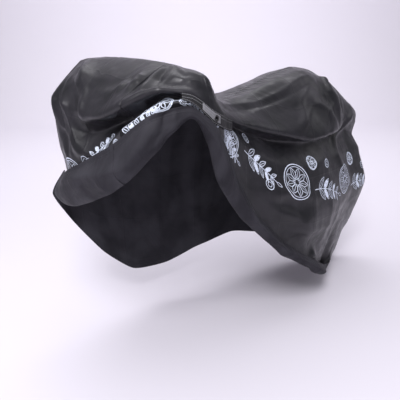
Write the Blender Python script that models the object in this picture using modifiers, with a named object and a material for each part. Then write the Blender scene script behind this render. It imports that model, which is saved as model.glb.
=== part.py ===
"""Bicycle cover, hung as it sits over a bicycle's handlebar, saddle and rear wheel.

Two side panels of coated polyester cloth meet at a seam that runs over the top. The near panel's
hem is lifted and turned up outwards as a wide cuff, so that the frame stays in sight. A doubled
strip with an eyelet is stitched to the lifted hem. The inside is hollow and open below.

Frame: metres, +X to the bicycle's rear, -Y to the near side, +Z up. The origin is where the
handlebar carries the cover, under its top. Tables hold millimetres, with heights above the ground.
"""

import math
from collections import namedtuple

import bmesh
import bpy
import numpy as np
from mathutils import Matrix, Vector

MM = 0.001
REST_HEIGHT = 1070  # the handlebar's height above the ground, where the cover rests
CLOTH_THICK = 1.6 * MM
SEAM_INSET = 0.85 * MM  # how far each panel stays to its own side of the seam line
NEAR, FAR = -1, 1  # the two sides, as the sign of Y

ROUNDNESS = 0.6  # of the curves between points: 1 is full, and less turns more tightly at a point
STEPS_ALONG = 3  # facets from one rib to the next
STEPS_DOWN = (2, 3, 3, 3, 3, 4, 4, 4, 3)  # facets from one level of a rib to the next
SEAM_STEPS = 8
FOLD_STEPS = 8  # points on a fold's line, for each of its places
FOLD_FADE = 0.35  # how far past its last place a fold fades out, as a share of one span
FOLD_REACH = 7  # rows of facets that a fold reaches, so that it stays on its own layer of cloth

STRIP_FROM, STRIP_TO = 5, 17  # the near panel's facet lines that the strip spans
STRIP_ROWS = 4
STRIP_WIDE = 38 * MM
STRIP_THICK = 2.0 * MM
STRIP_NARROW = 0.5  # share of its width at the front end, where it runs out under the fold
STRIP_TAPER = 4  # facet lines over which it widens from there
STRIP_CLEAR = 2.15 * MM  # from the middle of the panel's cloth to the middle of the strip
EYELET_AT = 0.42  # share of the strip's length, from its front end
EYELET_DROP = 20 * MM  # below the strip's upper edge
EYELET_STAND = 2.6 * MM  # how far the strip bows out there, to clear the back of the ring
EYELET_BOW = 3  # facet lines on each side over which it does
HOLE_RADIUS = 7.6 * MM
HOLE_DEEP = 24 * MM
RING_BORE = 5.6 * MM
RING_BARREL = 7.0 * MM
RING_RADIUS = 10.5 * MM
RING_FLANGE = 0.8 * MM
RING_GAP = 0.6 * MM  # between a flange and the strip, which curves a little
ROUND_STEPS = 24

# The seam over the top, from the front of the handlebar to the tail.
SeamPoint = namedtuple("SeamPoint", "x y height")
SEAM_LINE = (
    SeamPoint(-30, -170, 1092),
    SeamPoint(0, -170, 1094),
    SeamPoint(60, -160, 1080),
    SeamPoint(110, -145, 1055),
    SeamPoint(200, -110, 1000),
    SeamPoint(330, -50, 945),
    SeamPoint(490, -10, 960),
    SeamPoint(650, 0, 1005),
    SeamPoint(810, 0, 1035),
    SeamPoint(950, 0, 1015),
    SeamPoint(1085, 0, 960),
    SeamPoint(1200, 0, 890),
    SeamPoint(1290, 0, 835),
    SeamPoint(1340, 0, 805),
)

# A rib is one upright section of the cloth. It leaves the seam at seam_at, crosses a ridge at
# (x, y, height), and from there goes out in its heading's direction: 0 is forwards, 90 the far
# side, -90 the near side and 180 the rear. Each level is (reach from the ridge, height): brow,
# the lip of the fold that hangs over, the tuck under it, the shelf that carries the print, the
# belly, the turn at the bottom, the cuff that is turned up outside, and the hem's free edge.
# On the far side the cloth isn't turned up, and the last three only hang down to the hem.
Rib = namedtuple("Rib", "seam_at ridge heading brow lip tuck shelf belly turn cuff edge")

FRONT_SEAM = Rib(0, (-20, -170, 1092), 0, (70, 1055), (165, 989), (120, 948), (170, 918),
                 (155, 830), (165, 760), (190, 782), (200, 885))
TAIL_SEAM = Rib(1340, (1352, 0, 798), 180, (16, 755), (10, 690), (5, 615), (15, 530),
                (20, 430), (5, 310), (-12, 240), (-20, 185))

NEAR_RIBS = (
    FRONT_SEAM,
    Rib(12, (-20, -220, 1088), -25, (55, 1062), (120, 1032), (80, 1010), (118, 996),
        (112, 930), (130, 872), (166, 890), (165, 976)),
    Rib(30, (-10, -270, 1075), -50, (30, 1055), (65, 1022), (42, 1006), (66, 998),
        (50, 980), (52, 955), (90, 964), (82, 992)),
    Rib(60, (20, -305, 1060), -90, (14, 1028), (26, 972), (14, 956), (26, 945),
        (10, 915), (5, 868), (48, 880), (42, 928)),
    Rib(110, (70, -275, 1030), -100, (22, 990), (46, 945), (32, 932), (44, 918),
        (25, 850), (22, 750), (66, 790), (56, 850)),
    Rib(200, (180, -150, 990), -90, (40, 957), (80, 918), (62, 906), (74, 888),
        (76, 790), (92, 635), (142, 680), (124, 745)),
    Rib(330, (330, -70, 940), -90, (60, 907), (120, 868), (86, 846), (122, 790),
        (135, 640), (150, 485), (200, 508), (172, 552)),
    Rib(490, (490, -60, 955), -90, (80, 905), (150, 822), (88, 786), (140, 700),
        (180, 520), (175, 335), (220, 358), (198, 388)),
    Rib(650, (650, -70, 1000), -90, (90, 925), (170, 776), (98, 752), (150, 660),
        (200, 450), (190, 222), (225, 245), (205, 274)),
    Rib(810, (810, -70, 1020), -90, (98, 935), (165, 778), (88, 742), (142, 650),
        (190, 430), (160, 118), (193, 142), (174, 176)),
    Rib(950, (955, -70, 985), -90, (82, 905), (115, 775), (62, 735), (116, 640),
        (155, 430), (82, 75), (104, 82), (116, 112)),
    Rib(1085, (1085, -50, 935), -95, (50, 880), (75, 790), (52, 740), (95, 640),
        (135, 450), (88, 190), (78, 138), (70, 86)),
    Rib(1200, (1205, -40, 872), -120, (45, 825), (62, 760), (52, 700), (88, 620),
        (138, 465), (82, 255), (58, 196), (42, 152)),
    Rib(1290, (1295, -20, 825), -155, (38, 780), (35, 715), (35, 640), (60, 560),
        (94, 450), (78, 325), (68, 255), (58, 205)),
    TAIL_SEAM,
)

FAR_RIBS = (
    FRONT_SEAM,
    Rib(8, (-20, -60, 1100), 0, (80, 1050), (165, 945), (85, 918), (140, 862),
        (130, 775), (162, 700), (192, 736), (195, 835)),
    Rib(20, (-20, 60, 1100), 0, (90, 1045), (160, 930), (112, 872), (140, 808),
        (128, 715), (150, 640), (202, 706), (197, 777)),
    Rib(35, (-30, 170, 1096), 0, (82, 1045), (130, 958), (124, 875), (140, 790),
        (118, 690), (130, 600), (180, 668), (168, 730)),
    Rib(50, (-30, 270, 1090), 10, (66, 1040), (130, 968), (122, 880), (120, 790),
        (102, 685), (112, 565), (158, 625), (118, 702)),
    Rib(58, (-28, 292, 1088), 25, (56, 1042), (112, 970), (108, 880), (104, 788),
        (90, 682), (104, 575), (132, 584), (152, 604)),
    Rib(65, (-20, 310, 1085), 45, (42, 1042), (88, 972), (92, 880), (90, 785),
        (80, 685), (92, 590), (98, 520), (86, 455)),
    Rib(85, (20, 330, 1074), 85, (26, 1005), (42, 915), (44, 812), (36, 705),
        (26, 605), (16, 505), (6, 405), (-4, 305)),
    Rib(180, (150, 200, 1034), 90, (88, 978), (124, 884), (130, 770), (125, 660),
        (120, 540), (112, 420), (110, 300), (108, 190)),
    Rib(330, (330, 60, 950), 90, (80, 912), (150, 840), (190, 740), (212, 630),
        (222, 510), (232, 390), (236, 270), (240, 160)),
    Rib(520, (520, 60, 965), 90, (80, 912), (140, 830), (170, 730), (190, 620),
        (200, 510), (200, 400), (195, 300), (190, 210)),
    Rib(720, (720, 70, 1005), 90, (80, 930), (130, 840), (150, 740), (170, 630),
        (188, 520), (190, 410), (180, 310), (170, 220)),
    Rib(900, (900, 60, 1015), 90, (80, 930), (125, 830), (145, 720), (165, 610),
        (178, 500), (170, 390), (150, 280), (130, 180)),
    Rib(1080, (1075, 50, 955), 90, (60, 890), (95, 800), (125, 700), (142, 600),
        (150, 490), (138, 370), (110, 260), (90, 160)),
    Rib(1210, (1215, 40, 868), 125, (50, 830), (80, 760), (90, 680), (110, 590),
        (140, 480), (100, 340), (60, 230), (40, 150)),
    TAIL_SEAM,
)

# A fold is a soft ridge, or a trough where its rise is negative. It runs over the panel through
# its places, each given as (rib, level), counted from 0 at the front seam and at the top seam.
Fold = namedtuple("Fold", "rise wide path")

NEAR_FOLDS = (
    Fold(7, 16, ((0.4, 2.6), (0.2, 1.4))),  # pulled beside the front seam
    Fold(-6, 14, ((0.6, 2.5), (1.1, 2.3), (1.6, 2.2))),
    Fold(6, 30, ((5.4, 1.4), (7.4, 1.2), (8.6, 1.4))),  # along the back of the saddle's lobe
    Fold(10, 20, ((10.0, 1.1), (9.6, 1.8), (9.7, 2.3), (9.8, 2.7))),  # down from the tail's nub
    Fold(-7, 16, ((10.8, 1.6), (10.7, 2.1), (10.6, 2.6))),
    Fold(5, 18, ((8.7, 2.1), (8.0, 2.5), (7.4, 2.8))),  # gathered behind the saddle
    Fold(8, 20, ((11.7, 2.4), (11.1, 3.7), (10.3, 4.2), (10.0, 4.8))),  # at the tail's corner
    Fold(6, 24, ((10.0, 4.9), (10.4, 5.4), (11.0, 5.8))),
    Fold(-9, 34, ((7.0, 6.6), (7.9, 6.5), (8.8, 6.5), (9.6, 6.4))),  # above the rear hem
    Fold(8, 26, ((6.6, 5.7), (7.6, 5.5), (8.4, 5.6))),  # fanned out from the lifted hem
    Fold(7, 24, ((6.7, 6.1), (7.4, 6.1), (8.0, 6.3))),
    Fold(8, 18, ((8.2, 6.9), (8.5, 6.6), (8.7, 6.9))),
    Fold(6, 22, ((0.7, 7.7), (0.9, 8.2), (1.1, 8.8))),  # across the cuff
    Fold(-7, 18, ((1.2, 7.4), (1.3, 8.1), (1.3, 8.8))),
)

FAR_FOLDS = (
    Fold(8, 20, ((3.5, 1.1), (3.0, 1.6), (2.5, 2.2), (1.9, 2.8))),  # where front turns to side
    Fold(-7, 18, ((3.7, 2.0), (3.5, 3.0), (3.4, 4.2), (3.2, 5.2))),
    Fold(6, 16, ((3.9, 2.4), (3.8, 3.4), (3.7, 4.4))),
    Fold(6, 22, ((1.8, 2.4), (1.0, 2.4), (0.3, 2.2))),  # a soft crease in front of the bar
    Fold(7, 18, ((0.3, 2.6), (0.2, 1.5))),  # pulled beside the front seam
    Fold(-7, 24, ((6.1, 3.2), (6.3, 5.0), (6.5, 7.6))),  # hanging folds of the far side
    Fold(10, 32, ((7.4, 2.2), (7.6, 4.6), (7.9, 8.2))),
    Fold(-9, 34, ((8.4, 2.4), (8.6, 5.0), (8.7, 8.6))),
    Fold(10, 34, ((9.4, 3.0), (9.5, 6.0), (9.7, 8.8))),
    Fold(-9, 38, ((10.6, 2.6), (10.4, 5.6), (10.2, 8.6))),
    Fold(9, 34, ((11.8, 2.2), (11.7, 5.0), (11.9, 8.6))),
    Fold(8, 26, ((13.3, 1.6), (13.5, 3.6), (13.4, 6.4))),
)


def from_rest(points):
    """Table points in millimetres above the ground, as metres from the rest."""
    return (np.array(points, float) - (0, 0, REST_HEIGHT)) * MM


def seam_points(x):
    """Points of the seam at these x, which both panels share."""
    line = smooth_through(from_rest(SEAM_LINE), [SEAM_STEPS] * (len(SEAM_LINE) - 1))
    return np.stack([x, np.interp(x, line[:, 0], line[:, 1]), np.interp(x, line[:, 0], line[:, 2])], -1)


def rib_points(rib):
    """The rib's points from the seam to the hem's edge."""
    heading = math.radians(rib.heading)
    x, y, _ = rib.ridge
    levels = (rib.brow, rib.lip, rib.tuck, rib.shelf, rib.belly, rib.turn, rib.cuff, rib.edge)
    points = [rib.ridge]
    for reach, height in levels:
        points.append((x - math.cos(heading) * reach, y + math.sin(heading) * reach, height))
    return np.concatenate([seam_points(np.array([rib.seam_at * MM])), from_rest(points)])


def unit(steps):
    return steps / np.maximum(np.linalg.norm(steps, axis=-1, keepdims=True), 1e-9)


def smooth_through(rows, steps):
    """Rows of points on a smooth curve through the given rows, with so many steps in each span.

    The curve leaves each point halfway between the directions to its neighbours, so that it turns
    tightly at a fold and doesn't swing past it.
    """
    chords = np.diff(rows, axis=0)
    ways = unit(chords)
    tangents = unit(np.concatenate([ways[:1], ways[:-1] + ways[1:], ways[-1:]]))
    lengths = np.linalg.norm(chords, axis=-1, keepdims=True)
    made = []
    for span, count in enumerate(steps):
        start, end = rows[span], rows[span + 1]
        leave, arrive = ROUNDNESS * lengths[span] * tangents[span : span + 2]
        for t in np.arange(count) / count:
            ease = t * t * (3 - 2 * t)
            swing = leave * t * (1 - t) ** 2 - arrive * t * t * (1 - t)
            made.append(start * (1 - ease) + end * ease + swing)
    made.append(rows[-1])
    return np.array(made)


def panel_points(ribs):
    """The panel's middle surface as points[along][down]."""
    net = np.array([rib_points(rib) for rib in ribs])
    along = smooth_through(net, [STEPS_ALONG] * (len(ribs) - 1))
    along[:, 0] = seam_points(along[:, 0, 0])
    down = smooth_through(np.swapaxes(along, 0, 1), STEPS_DOWN)
    return np.swapaxes(down, 0, 1)


def outward(points):
    """The unit normal at each point, away from the hollow; the panels run opposite ways round it."""
    normal = unit(np.cross(np.gradient(points, axis=0), np.gradient(points, axis=1)))
    middle = len(points) // 2
    side = np.sign(points[middle, :, 1].mean())
    return normal if (normal[middle, :, 1].mean() > 0) == (side > 0) else -normal


def place_in_grid(rib, level):
    """Where (rib, level) falls in the panel's points."""
    starts = np.concatenate([[0], np.cumsum(STEPS_DOWN)])
    return rib * STEPS_ALONG, np.interp(level, range(len(starts)), starts)


def fold_weight(points, fold):
    """1 on the fold's line, falling off smoothly to the sides and at its ends."""
    places = [place_in_grid(*place) for place in fold.path]
    share = np.linspace(0, len(places) - 1, FOLD_STEPS * len(places))
    column = np.interp(share, range(len(places)), [place[0] for place in places])
    row = np.interp(share, range(len(places)), [place[1] for place in places])
    line = points[np.rint(column).astype(int), np.rint(row).astype(int)]
    gap = points[:, :, None] - line
    near = np.linalg.norm(gap, axis=3) / (fold.wide * MM)
    taper = np.sin(np.pi * (share + FOLD_FADE) / (share[-1] + 2 * FOLD_FADE))
    grid_row = np.arange(points.shape[1])[None, :, None]
    same_layer = np.abs(grid_row - row) < FOLD_REACH
    return (np.exp(-(near**2)) * taper * same_layer).max(axis=2)


def folded(points, folds):
    """The panel with its folds raised."""
    normal = outward(points)
    for fold in folds:
        points = points + normal * (fold_weight(points, fold) * fold.rise * MM)[:, :, None]
    return points


def clear_of_seam(points, side):
    """Moves the three edges that meet the other panel to this panel's own side by the inset."""
    points = points.copy()
    points[:, 0, 1] += side * SEAM_INSET
    points[0, 1:, 1] += side * SEAM_INSET
    points[-1, 1:, 1] += side * SEAM_INSET
    return points


def matt_material(name, colour, roughness, metallic=0.0):
    material = bpy.data.materials.new(name)
    material.use_nodes = True
    shader = material.node_tree.nodes["Principled BSDF"]
    shader.inputs["Base Color"].default_value = (*colour, 1)
    shader.inputs["Roughness"].default_value = roughness
    shader.inputs["Metallic"].default_value = metallic
    return material


def sheet_object(name, points, thick, material, collection):
    """A sheet of the given thickness, with points[along][down] on its middle surface."""
    mesh = bpy.data.meshes.new(name)
    cloth = bmesh.new()
    verts = [[cloth.verts.new(point) for point in row] for row in points]
    for left, right in zip(verts[:-1], verts[1:]):
        for corner in range(len(left) - 1):
            cloth.faces.new((left[corner], left[corner + 1], right[corner + 1], right[corner]))
    cloth.to_mesh(mesh)
    cloth.free()
    mesh.shade_smooth()
    mesh.materials.append(material)
    sheet = bpy.data.objects.new(name, mesh)
    collection.objects.link(sheet)
    solid = sheet.modifiers.new("Thickness", "SOLIDIFY")
    solid.thickness = thick
    solid.offset = 0
    return sheet


def make_panel(name, ribs, folds, side, material, collection):
    points = clear_of_seam(folded(panel_points(ribs), folds), side)
    return sheet_object(name, points, CLOTH_THICK, material, collection)


def strip_points():
    """The strip hangs from the lips of the lifted ribs, clear of the cloth that it covers."""
    cloth = folded(panel_points(NEAR_RIBS), NEAR_FOLDS)
    lip, belly = (int(place_in_grid(0, level)[1]) for level in (3, 6))
    columns = cloth[STRIP_FROM:STRIP_TO]
    run = unit(np.gradient(columns[:, lip], axis=0) * (1, 1, 0))
    out = np.cross(run, (0, 0, 1))
    widths = STRIP_WIDE * np.interp(range(len(columns)), (0, STRIP_TAPER), (STRIP_NARROW, 1))
    away = np.abs(np.arange(len(columns)) - EYELET_AT * (len(columns) - 1)) / EYELET_BOW
    bow = EYELET_STAND * np.clip(2 - 2 * away, 0, 1)
    points = []
    for column, way, wide, more in zip(columns, out, widths, bow):
        top = column[lip]
        covered = column[lip:belly]
        covered = covered[covered[:, 2] > top[2] - STRIP_WIDE - STRIP_CLEAR]
        stand = ((covered - top) @ way).max() + STRIP_CLEAR + more
        drops = np.linspace(0, wide, STRIP_ROWS)
        points.append([top + way * stand - (0, 0, drop) for drop in drops])
    return np.array(points)


def make_strip(collection, cutters, material, ring_material):
    points = strip_points()
    strip = sheet_object("eyelet_strip", points, STRIP_THICK, material, collection)
    at = EYELET_AT * (len(points) - 1)
    before = int(at)
    share = at - before
    middle = points[before, 0] * (1 - share) + points[before + 1, 0] * share
    middle = Vector(middle) - Vector((0, 0, EYELET_DROP))
    run = points[before + 1, 0] - points[before, 0]
    axis = Vector(np.cross(run, (0, 0, 1))).normalized()
    turn = axis.to_track_quat("Z", "Y").to_matrix().to_4x4()
    hole = round_cutter("eyelet_hole", HOLE_RADIUS, HOLE_DEEP, cutters)
    hole.matrix_world = Matrix.Translation(middle) @ turn
    cut = strip.modifiers.new("Hole", "BOOLEAN")
    cut.operation = "DIFFERENCE"
    cut.object = hole
    ring = ring_object("eyelet_ring", ring_material, collection)
    ring.matrix_world = Matrix.Translation(middle) @ turn


def round_cutter(name, radius, long, cutters):
    mesh = bpy.data.meshes.new(name)
    shape = bmesh.new()
    bmesh.ops.create_cone(
        shape, cap_ends=True, segments=ROUND_STEPS, radius1=radius, radius2=radius, depth=long
    )
    shape.to_mesh(mesh)
    shape.free()
    cutter = bpy.data.objects.new(name, mesh)
    cutter.hide_render = True
    cutter.display_type = "WIRE"
    cutters.objects.link(cutter)
    return cutter


def ring_object(name, material, collection):
    """A rolled eyelet: a barrel through the strip and a flange on each face, as a turned profile."""
    inner = STRIP_THICK / 2 + RING_GAP
    outer = inner + RING_FLANGE
    profile = [
        (RING_RADIUS, outer),
        (RING_RADIUS, inner),
        (RING_BARREL, inner),
        (RING_BARREL, -inner),
        (RING_RADIUS, -inner),
        (RING_RADIUS, -outer),
        (RING_BORE, -outer),
        (RING_BORE, outer),
    ]
    mesh = bpy.data.meshes.new(name)
    edges = [(i, (i + 1) % len(profile)) for i in range(len(profile))]
    mesh.from_pydata([(radius, 0, height) for radius, height in profile], edges, [])
    mesh.materials.append(material)
    ring = bpy.data.objects.new(name, mesh)
    collection.objects.link(ring)
    turned = ring.modifiers.new("Turned", "SCREW")
    turned.steps = ROUND_STEPS
    turned.render_steps = ROUND_STEPS
    turned.use_merge_vertices = True
    turned.merge_threshold = 0.00001
    return ring


for old in list(bpy.data.objects):
    bpy.data.objects.remove(old, do_unlink=True)

cover = bpy.data.collections.new("bicycle_cover")
cutters = bpy.data.collections.new("cutters")
bpy.context.scene.collection.children.link(cover)
bpy.context.scene.collection.children.link(cutters)

near_cloth = matt_material("near_cloth", (0.075, 0.075, 0.080), 0.42)
far_cloth = matt_material("far_cloth", (0.080, 0.077, 0.088), 0.42)
strip_cloth = matt_material("strip_cloth", (0.11, 0.11, 0.112), 0.5)
ring_metal = matt_material("ring_metal", (0.10, 0.10, 0.105), 0.35, metallic=0.8)

make_panel("near_side_panel", NEAR_RIBS, NEAR_FOLDS, NEAR, near_cloth, cover)
make_panel("far_side_panel", FAR_RIBS, FAR_FOLDS, FAR, far_cloth, cover)
make_strip(cover, cutters, strip_cloth, ring_metal)
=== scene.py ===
"""The looks of a bicycle cover, hung over a handlebar, a saddle and a rear wheel.

Metres, +X to the bicycle's rear, -Y to the near side, +Z up, with the origin at the handlebar.
"""

import math
from collections import namedtuple

import bmesh
import bpy
import numpy as np
from mathutils import Matrix, Vector, noise


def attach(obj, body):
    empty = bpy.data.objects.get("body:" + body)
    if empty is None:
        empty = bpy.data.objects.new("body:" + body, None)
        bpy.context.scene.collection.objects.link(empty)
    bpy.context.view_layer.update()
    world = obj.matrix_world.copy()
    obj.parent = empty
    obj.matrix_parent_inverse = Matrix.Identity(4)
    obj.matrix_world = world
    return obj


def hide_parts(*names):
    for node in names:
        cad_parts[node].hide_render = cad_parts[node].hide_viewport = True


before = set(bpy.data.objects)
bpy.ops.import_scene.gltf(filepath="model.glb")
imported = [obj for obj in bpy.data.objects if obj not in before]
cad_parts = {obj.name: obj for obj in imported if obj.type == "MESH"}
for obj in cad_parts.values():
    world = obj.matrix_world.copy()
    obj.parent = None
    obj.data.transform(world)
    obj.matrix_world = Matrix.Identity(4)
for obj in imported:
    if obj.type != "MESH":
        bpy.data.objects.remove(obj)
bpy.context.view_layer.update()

# ---------------------------------------------------------------------------------------------
# The camera stands a little above the handlebar, ahead of it on the near side, and looks down at
# the cover's near front quarter.
CAMERA_PLACE = (-0.967, -1.335, 0.117)
CAMERA_TURN = math.radians(-42.91)  # from straight at the near side, towards the front
CAMERA_DOWN = math.radians(19.11)
CAMERA_ROLL = math.radians(-0.62)
CAMERA_LENS = 44.0  # on a sensor 36 mm wide


def new_object(name, data):
    """An object in the scene that holds this camera, mesh or light."""
    made = bpy.data.objects.new(name, data)
    bpy.context.scene.collection.objects.link(made)
    return made


camera_data = bpy.data.cameras.new("camera")
camera_data.lens = CAMERA_LENS
camera = new_object("camera", camera_data)
camera.matrix_world = (
    Matrix.Translation(CAMERA_PLACE)
    @ Matrix.Rotation(CAMERA_TURN, 4, "Z")
    @ Matrix.Rotation(math.pi / 2 - CAMERA_DOWN, 4, "X")
    @ Matrix.Rotation(CAMERA_ROLL, 4, "Z")
)
bpy.context.scene.camera = camera

# ---------------------------------------------------------------------------------------------
# The near side panel: black coated polyester taffeta, cut in one piece. It is sewn to the far
# panel over the top, hangs in a fold over the handlebar and the saddle, and is turned up outside
# as a wide cuff, so that its plain inner face shows there.
MM = 0.001
REST_HEIGHT = 1070  # the handlebar's height above the ground, in millimetres
CLOTH_THICK = 0.5 * MM
SEAM_LAP = 0.8 * MM  # how far each panel runs past the line of the seam
ROUNDNESS = 0.6  # of the curves between points: 1 is full, and less turns more tightly at a point
STEPS_ALONG = 18  # facets from one rib to the next
STEPS_DOWN = (12, 16, 20, 12, 14, 22, 24, 16, 20)  # from one level of a rib to the next
SEAM_STEPS = 8  # from one point of the seam's line to the next
FACET = 7.5  # how long a facet is along the panel, in millimetres
SAME_LAYER = 34  # rows that a fold reaches, so that it stays on its own layer of cloth
FOLD_REACH, FOLD_STEPS = 4, 6  # the widths that a fold spreads to each side, and steps for each place
FOLD_TAPER = 0.35  # how far past its end places a fold dies out, in places
SOFT, CRISP = 2.0, 1.0  # the softness of a fold and of a sharp crease
BLUNT = 0.03  # how blunt the top of a fold is, as a share
CRUMPLES = (  # crossed creases: the distance between them, their slant in degrees and their height
    (0.230, 74, 0.0036), (0.200, -40, 0.0032), (0.270, 14, 0.0030), (0.110, 52, 0.0010),
)
CRUMPLE_BEND, CRUMPLE_BEND_SIZE = 0.25, 0.30  # how far they wander, as a share, and over what length
CRUMPLE_SHIFT = 0.25  # of each set against the last, as a share of the distance between creases
CRUMPLE_MEAN, CRUMPLE_SWING = 0.35, 0.9  # their strength, and how far it rises and falls
CRUMPLE_PATCH = 0.26  # the size of the patches where they are crisp
SEED_STEP = 3.0  # from one set's noise to the next
NOISE_GAIN = 1.8  # brings the noise's usual values out to -1 and 1
SEAM_CALM = 8  # facets beside a seam over which the crumples die out
PRESS_EDGE = 6  # facets over which a flat place turns into crumples
NEAR_SEED = 1.0
STRIP_RIBS = (5 / 3, 16 / 3)  # where the eyelet strip starts and ends
SADDLE_TAUT = ((5.4, 9.2), (0.2, 1.4))  # the ribs and the levels between which it has no crumples
TAIL_TAUT = ((9.8, 12.6), (5.2, 6.8))
BEHIND_STRIP = (STRIP_RIBS, (2.8, 5.0))  # where it has no creases either
PRINT_LEVEL = 4.6  # the level of the ribs that the middle of the print follows

OUTER_DARK, OUTER_LIGHT = (0.009, 0.009, 0.011), (0.018, 0.017, 0.021)
INNER_DARK, INNER_LIGHT = (0.028, 0.027, 0.032), (0.043, 0.042, 0.049)
OUTER_ROUGH, OUTER_SHINE = 0.36, 0.32
INNER_ROUGH, INNER_SHINE = 0.50, 0.03
ROUGH_LESS, ROUGH_MORE = 0.05, 0.07  # how far the roughness swings over the crinkles
CLOUD_SCALE, CLOUD_RANGE = 7.0, (0.35, 0.65)  # the clouds of darker and lighter cloth
NOISE_RANGE = (0.3, 0.7)  # most of a noise's values lie between these
WEAVE, WEAVE_HIGH = 0.9 * MM, 0.003 * MM  # the pitch and height of the threads
CRINKLE_SCALE, CRINKLE_HIGH = 26.0, 0.22 * MM
CREASES = (  # fine crossed creases in the bump: pitch, slant in degrees, height
    (0.062, 66, 0.0010), (0.050, -38, 0.0008), (0.036, 10, 0.0003), (0.028, -70, 0.0002),
)
BEND_SCALE, CREASE_WANDER = 3.0, 0.8  # how they bend, and how far, as a share of the pitch
CREASE_PATCH, CREASE_PATCH_STEP = 6.0, 2.3  # the patches where they show, finer for each set
CREASE_SHOWS = (0.42, 0.68)  # the noise's values over which they come up
STORED_FOLD, STORED_HIGH = 190 * MM, 0.35 * MM  # the squares that it was folded into, their creases
STORED_WIDE = 0.025  # of the squares
SEAM_BAND, SEAM_ROWS = 10 * MM, (1.6 * MM, 8.4 * MM)  # the felled seam and its rows of stitches
HEM_BAND, HEM_ROWS = 18 * MM, (15.5 * MM,)
BAND_HIGH, BAND_SLOPE = 0.8 * MM, 1.2 * MM  # how far doubled cloth stands up, and how it falls off
THREAD, STITCH_LONG, STITCH_HIGH = 0.5 * MM, 4.5 * MM, 0.3 * MM
STITCH_ENDS = (0.36, 0.44)  # where a stitch goes into the cloth, from its middle, as a share
THREAD_COLOUR = (0.05, 0.05, 0.055)
PUCKER, PUCKER_REACH = 21 * MM, 45 * MM  # the ripples beside a sewn edge
PUCKER_HIGH, HEM_PUCKER_HIGH = 0.6 * MM, 0.12 * MM
WOBBLE_SCALE, WOBBLE = 30.0, 9.0  # how unevenly they run
SEWN_EDGES = (  # the map that it is measured on, its band, rows of stitches and the puckers' height
    ("seam", SEAM_BAND, SEAM_ROWS, PUCKER_HIGH),
    ("hem", HEM_BAND, HEM_ROWS, HEM_PUCKER_HIGH),
)

# The seam's points are (x, y, height above the ground) in millimetres. A rib is one upright
# section of the cloth. It leaves the seam at seam_at, crosses a ridge at (x, y, height), and goes
# out from there in its heading's direction: 0 forwards, 90 far, -90 near, 180 to the rear. Each
# level after the ridge is (reach from the ridge, height): brow, the lip of the fold that hangs
# over, the tuck under it, the shelf with the print, the belly, the turn, the cuff and the edge.
SEAM_LINE = (
    (-30, -170, 1092), (0, -170, 1094), (60, -160, 1080), (110, -145, 1055), (200, -110, 1000),
    (330, -50, 945), (490, -10, 960), (650, 0, 1005), (810, 0, 1035), (950, 0, 1015),
    (1085, 0, 960), (1200, 0, 890), (1290, 0, 835), (1340, 0, 805),
)
Rib = namedtuple("Rib", "seam_at ridge heading brow lip tuck shelf belly turn cuff edge")

FRONT_SEAM = Rib(0, (-20, -170, 1092), 0, (70, 1055), (165, 989), (120, 948), (170, 918),
                 (155, 830), (165, 760), (190, 782), (200, 885))
TAIL_SEAM = Rib(1340, (1352, 0, 798), 180, (16, 755), (10, 690), (5, 615), (15, 530),
                (20, 430), (5, 310), (-12, 240), (-20, 185))

NEAR_RIBS = (
    FRONT_SEAM,
    Rib(12, (-20, -220, 1088), -25, (55, 1062), (120, 1032), (80, 1010), (118, 996),
        (112, 930), (130, 872), (166, 890), (165, 976)),
    Rib(30, (-10, -270, 1075), -50, (30, 1055), (65, 1022), (42, 1006), (66, 998),
        (50, 980), (52, 955), (90, 964), (82, 992)),
    Rib(60, (20, -305, 1060), -90, (14, 1028), (26, 972), (14, 956), (26, 945),
        (10, 915), (5, 868), (48, 880), (42, 928)),
    Rib(110, (70, -275, 1030), -100, (22, 990), (46, 945), (32, 932), (44, 918),
        (25, 850), (22, 750), (66, 790), (56, 850)),
    Rib(200, (180, -150, 990), -90, (40, 957), (80, 918), (62, 906), (74, 888),
        (76, 790), (92, 635), (142, 680), (124, 745)),
    Rib(330, (330, -70, 940), -90, (60, 907), (120, 868), (86, 846), (122, 790),
        (135, 640), (150, 485), (200, 508), (172, 552)),
    Rib(490, (490, -60, 955), -90, (80, 905), (150, 822), (88, 786), (140, 700),
        (180, 520), (175, 335), (220, 358), (198, 388)),
    Rib(650, (650, -70, 1000), -90, (90, 925), (170, 776), (98, 752), (150, 660),
        (200, 450), (190, 222), (225, 245), (205, 274)),
    Rib(810, (810, -70, 1020), -90, (98, 935), (165, 778), (88, 742), (142, 650),
        (190, 430), (160, 118), (193, 142), (174, 176)),
    Rib(950, (955, -70, 985), -90, (82, 905), (115, 775), (62, 735), (116, 640),
        (155, 430), (82, 75), (104, 82), (116, 112)),
    Rib(1085, (1085, -50, 935), -95, (50, 880), (75, 790), (52, 740), (95, 640),
        (135, 450), (88, 190), (78, 138), (70, 86)),
    Rib(1200, (1205, -40, 872), -120, (45, 825), (62, 760), (52, 700), (88, 620),
        (138, 465), (82, 255), (58, 196), (42, 152)),
    Rib(1290, (1295, -20, 825), -155, (38, 780), (35, 715), (35, 640), (60, 560),
        (94, 450), (78, 325), (68, 255), (58, 205)),
    TAIL_SEAM,
)

# A fold is a ridge, or a trough where its rise is negative, as high and as wide as given in
# millimetres. It runs over the panel through its places, each as (rib, level), counted from 0 at
# the front seam and at the top seam. The cuff is turned over, so a negative rise stands out there.
Fold = namedtuple("Fold", "rise wide path")

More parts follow.
